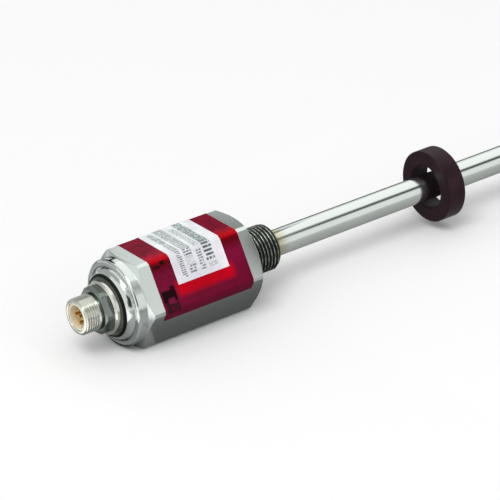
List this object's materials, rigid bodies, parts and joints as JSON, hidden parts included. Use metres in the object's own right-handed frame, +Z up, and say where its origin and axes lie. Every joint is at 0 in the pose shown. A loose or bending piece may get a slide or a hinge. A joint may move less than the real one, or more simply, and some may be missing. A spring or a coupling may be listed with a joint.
{
  "type": "magnetostrictive linear position sensor",
  "caption": "Rod-style linear position sensor: hexagonal steel housing with a threaded stud and round connector, a long polished rod, and a ring magnet that slides along it.",
  "frame": {"origin": "on the rod's axis, in the plane of the mounting face where the mounting thread begins", "axes": "+X along the rod towards its free end, +Z up from the hexagon's lower flat, +Y to the left seen from the connector"},
  "size_m": [0.2858, 0.0388, 0.0343],
  "materials": {
    "turned_steel": "drawn and turned stainless steel, satin",
    "polished_steel": "ground and polished stainless steel",
    "thread_steel": "rolled steel thread, dark and slightly oiled",
    "nickel_plate": "nickel plated brass, bright",
    "seal_rubber": "black nitrile rubber",
    "bonded_magnet": "moulded magnet compound, dark maroon brown",
    "red_film": "glossy printed polyester film",
    "white_film": "satin white polyester film with grey print",
    "insert_nylon": "moulded cream nylon",
    "gold_plate": "gold plated contact",
    "copper_wire": "enamelled copper",
    "bare_brass": "machined brass",
    "waveguide_alloy": "drawn nickel iron wire",
    "grey_nylon": "moulded grey nylon",
    "sleeve_polymer": "extruded fluoropolymer",
    "damper_silicone": "cast silicone",
    "laminate": "green solder mask on glass laminate",
    "chip_epoxy": "moulded epoxy",
    "capacitor_ceramic": "fired ceramic",
    "ferrite": "sintered ferrite"
  },
  "bodies": {
    "sensor": {"hex_housing": "turned_steel", "threaded_stud": "thread_steel", "port_seal": "seal_rubber", "sensor_rod": "polished_steel", "rod_end_plug": "polished_steel", "waveguide_wire": "waveguide_alloy", "waveguide_sleeve": "sleeve_polymer", "return_wire": "copper_wire", "rod_spacers": "grey_nylon", "end_damper": "damper_silicone", "end_ferrule": "bare_brass", "pickup_bobbin": "insert_nylon", "pickup_coil": "copper_wire", "bias_magnet": "ferrite", "waveguide_clamp": "bare_brass", "clamp_screws": "turned_steel", "board_carrier": "grey_nylon", "circuit_board": "laminate", "board_screws": "turned_steel", "processor_chip": "chip_epoxy", "driver_chips": "chip_epoxy", "filter_capacitors": "capacitor_ceramic", "pulse_inductor": "ferrite", "screen_sleeve": "copper_wire", "end_cap": "polished_steel", "skirt_seal": "seal_rubber", "connector_shell": "nickel_plate", "connector_seal": "seal_rubber", "connector_nut": "nickel_plate", "connector_insert": "insert_nylon", "contact_pins": "gold_plate", "connector_board": "laminate", "connector_leads": "turned_steel", "wrap_label": "red_film", "data_label": "white_film"},
    "magnet": {"ring_magnet": "bonded_magnet"}
  },
  "joints": [
    {"name": "magnet_slide", "type": "slide", "parent": "sensor", "child": "magnet", "axis": [1, 0, 0], "range_m": [-0.046, 0.054]}
  ]
}
